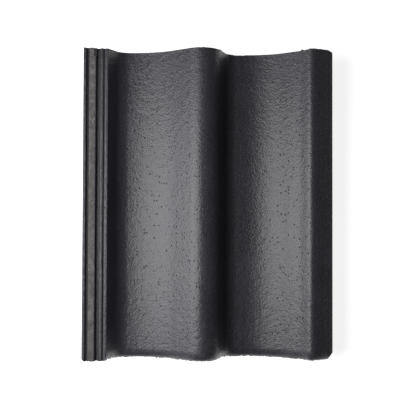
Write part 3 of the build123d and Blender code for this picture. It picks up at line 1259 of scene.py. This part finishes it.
def floor_material(colour):
    """Matt pale studio floor with a glow of its own."""
    material, tree, shader = new_material("pale floor")
    patches = finish_group(tree, "patches", mottle_group, ("Patch scale", 3.0))
    shaded = opaque([FLOOR_SHADE * part for part in colour])
    shade = mixed(tree, patches["Broad"], opaque(colour), shaded)
    put(tree, shader.inputs["Base Color"], shade)
    put(tree, shader.inputs["Emission Color"], shade)
    put(tree, shader.inputs["Roughness"], 0.9)
    put(tree, shader.inputs["Emission Strength"], FLOOR_GLOW)
    return material


def finish_piece(piece, *replaced):
    """Tie a finished piece to the frame."""
    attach(piece, "root")
    if replaced:
        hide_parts(*replaced)


class ROOFTILE_OT_body(bpy.types.Operator):
    """Cast the body of the tile"""

    bl_idname = "rooftile.body"
    bl_label = "Cast body"

    def execute(self, context):
        """Sweep, slice, weather and lay down the body, and let it stand for the node."""
        shape = context.scene.tile_shape
        inputs = {
            "Section": profile_object(), "Rail": rail_object(), "Nibs": nib_object(),
            "Broken corner": break_object(),
        }
        sweep = made_by(sweep_tree(), bpy.data.meshes.new("blank"), "tile_sweep", {
            **inputs,
            "Nose length": NOSE_LENGTH * MM,
            "Nose depth": NOSE_DEPTH * MM,
            "Bar start": BAR_START * MM,
            "Bar pitch": BAR_PITCH * MM,
            "Bar width": BAR_WIDTH * MM,
            "Bar depth": BAR_DEPTH * MM,
            "Bar draft": BAR_DRAFT * MM,
            "Bars end": (BAR_START + BAR_COUNT * BAR_PITCH) * MM,
        })
        slice_flat_faces(sweep.data)
        places = pits_object()
        body = made_by(relief_tree(), sweep.data.copy(), "tile_body", {
            "Pit places": places,
            "Length": TILE_LENGTH * MM,
            "Inset": END_INSET * MM,
            "Unevenness": shape.wave_depth,
            "Slurry texture": shape.peel_depth,
            "Chips": shape.chip_depth,
            "End roughness": shape.end_depth,
            "Pore spacing": shape.pore_spacing,
            "Pore density": 1 / shape.pore_spacing ** 2,
            "Pore radius": shape.pore_radius,
            "Sharp above": SHARP_ABOVE,
            "Seed": shape.seed,
            **laying(),
            "Material": tile_material(context.scene.tile_finish),
        })
        clear(sweep, places, *inputs.values())
        finish_piece(body, NODE)
        return {"FINISHED"}


class ROOFTILE_OT_crumbs(bpy.types.Operator):
    """Leave crumbs along the cut nose and head"""

    bl_idname = "rooftile.crumbs"
    bl_label = "Add crumbs"

    def execute(self, context):
        """Scatter the crumbs of both cut ends."""
        shape = context.scene.tile_shape
        section = profile_object()
        tree = crumb_tree()
        finish = crumb_material(context.scene.tile_finish)
        ends = (
            ("nose_crumbs", END_INSET, NOSE_DEPTH, NOSE_GATHERED, NOSE_CRUMBS),
            ("head_crumbs", TILE_LENGTH - END_INSET, 0.0, HEAD_GATHERED, HEAD_CRUMBS),
        )
        for name, end, depth, gathered, reach in ends:
            crumbs = made_by(tree, bpy.data.meshes.new("blank"), name, {
                "Section": section,
                "Nose depth": depth * MM,
                "End": end * MM,
                "From": reach[0] * MM,
                "To": reach[1] * MM,
                "Spacing": shape.crumb_size * 0.8,
                "Crumb size": shape.crumb_size,
                "Gathered": gathered,
                "Seed": shape.seed,
                **laying(),
                "Material": finish,
            })
            finish_piece(crumbs)
        clear(section)
        return {"FINISHED"}


class ROOFTILE_OT_studio(bpy.types.Operator):
    """Set up the floor, the lights and the camera"""

    bl_idname = "rooftile.studio"
    bl_label = "Set up studio"

    def execute(self, context):
        """Make the pale floor, the soft light from the left and the camera."""
        studio = context.scene.tile_studio
        mesh = bpy.data.meshes.new("floor")
        half = FLOOR_HALF
        mesh.from_pydata(
            [(-half, -half, 0), (half, -half, 0), (half, half, 0), (-half, half, 0)], [],
            [(0, 1, 2, 3)],
        )
        mesh.materials.append(floor_material(studio.floor_colour))
        to_object("floor", mesh)
        self.add_softbox(studio)
        self.add_surroundings(context.scene, studio)
        self.add_camera(context.scene, studio)
        return {"FINISHED"}

    def add_softbox(self, studio):
        """Hang the large soft light at the left, facing the tile."""
        light = bpy.data.lights.new("softbox", "AREA")
        light.shape = "RECTANGLE"
        light.size = studio.key_width
        light.size_y = studio.key_length
        light.energy = studio.key_power
        lamp = bpy.data.objects.new("softbox", light)
        tilt = studio.key_tilt
        heading = studio.key_heading
        towards = Vector((
            -math.sin(tilt) * math.cos(heading), math.sin(tilt) * math.sin(heading),
            math.cos(tilt),
        ))
        lamp.location = towards * studio.key_distance
        along = Vector((0.0, 1.0, 0.0))
        along = (along - towards * along.dot(towards)).normalized()
        lamp.rotation_euler = Matrix((along.cross(towards), along, towards)).transposed().to_euler()
        bpy.context.scene.collection.objects.link(lamp)

    def add_surroundings(self, scene, studio):
        """Fill the room with a weak even light."""
        world = bpy.data.worlds.new("studio")
        world.use_nodes = True
        background = world.node_tree.nodes["Background"]
        background.inputs["Color"].default_value = (1.0, 1.0, 1.0, 1.0)
        background.inputs["Strength"].default_value = studio.fill
        scene.world = world
        scene.view_settings.view_transform = "Standard"

    def add_camera(self, scene, studio):
        """Place the camera over the tile as the photograph was taken."""
        yaw, pitch, roll = (math.radians(angle) for angle in CAMERA_TURNS)
        out = Vector((
            -math.sin(yaw) * math.cos(pitch), -math.sin(pitch),
            math.cos(yaw) * math.cos(pitch),
        ))
        aim_x, aim_y = CAMERA_AIM
        aim = Vector((TILE_WIDTH / 2 + aim_x, TILE_LENGTH / 2 + aim_y, ROLL_HEIGHT)) * MM
        right = (-out).cross(Vector((0, 1, 0))).normalized()
        up = right.cross(-out)
        rolled_right = right * math.cos(roll) + up * math.sin(roll)
        rolled_up = up * math.cos(roll) - right * math.sin(roll)
        axes = Matrix((rolled_right, rolled_up, out)).transposed()
        turned = Matrix.Rotation(REST_ANGLE, 3, "X") @ axes
        lens = bpy.data.cameras.new("camera")
        lens.sensor_width = SENSOR_WIDTH
        lens.lens = SENSOR_WIDTH * FOCAL_PIXELS / FRAME_PIXELS
        camera = bpy.data.objects.new("camera", lens)
        camera.matrix_world = (
            Matrix.Translation(as_laid(aim + out * studio.camera_distance))
            @ turned.to_4x4()
        )
        scene.collection.objects.link(camera)
        scene.camera = camera


class ROOFTILE_PT_panel(bpy.types.Panel):
    """Sizes, colours and steps of the roof tile"""

    bl_idname = "ROOFTILE_PT_panel"
    bl_label = "Roof tile"
    bl_space_type = "VIEW_3D"
    bl_region_type = "UI"
    bl_category = "Roof tile"

    def draw(self, context):
        """List every setting and every step."""
        for group in (
            context.scene.tile_shape, context.scene.tile_finish, context.scene.tile_studio
        ):
            box = self.layout.box()
            for name in group.__annotations__:
                box.prop(group, name)
        for operator in OPERATORS:
            self.layout.operator(operator.bl_idname)


SETTINGS = {"tile_shape": TileShape, "tile_finish": TileFinish, "tile_studio": TileStudio}
OPERATORS = (ROOFTILE_OT_body, ROOFTILE_OT_crumbs, ROOFTILE_OT_studio)


def register():
    """Register the settings, the operators and the panel."""
    for name, group in SETTINGS.items():
        bpy.utils.register_class(group)
        setattr(bpy.types.Scene, name, PointerProperty(type=group))
    for made in (*OPERATORS, ROOFTILE_PT_panel):
        bpy.utils.register_class(made)


def unregister():
    """Take the panel, the operators and the settings away again."""
    for made in (ROOFTILE_PT_panel, *reversed(OPERATORS)):
        bpy.utils.unregister_class(made)
    for name, group in SETTINGS.items():
        delattr(bpy.types.Scene, name)
        bpy.utils.unregister_class(group)


def main():
    """Build the tile and its studio."""
    register()
    bpy.ops.rooftile.body()
    bpy.ops.rooftile.crumbs()
    bpy.ops.rooftile.studio()


if __name__ == "__main__":
    main()
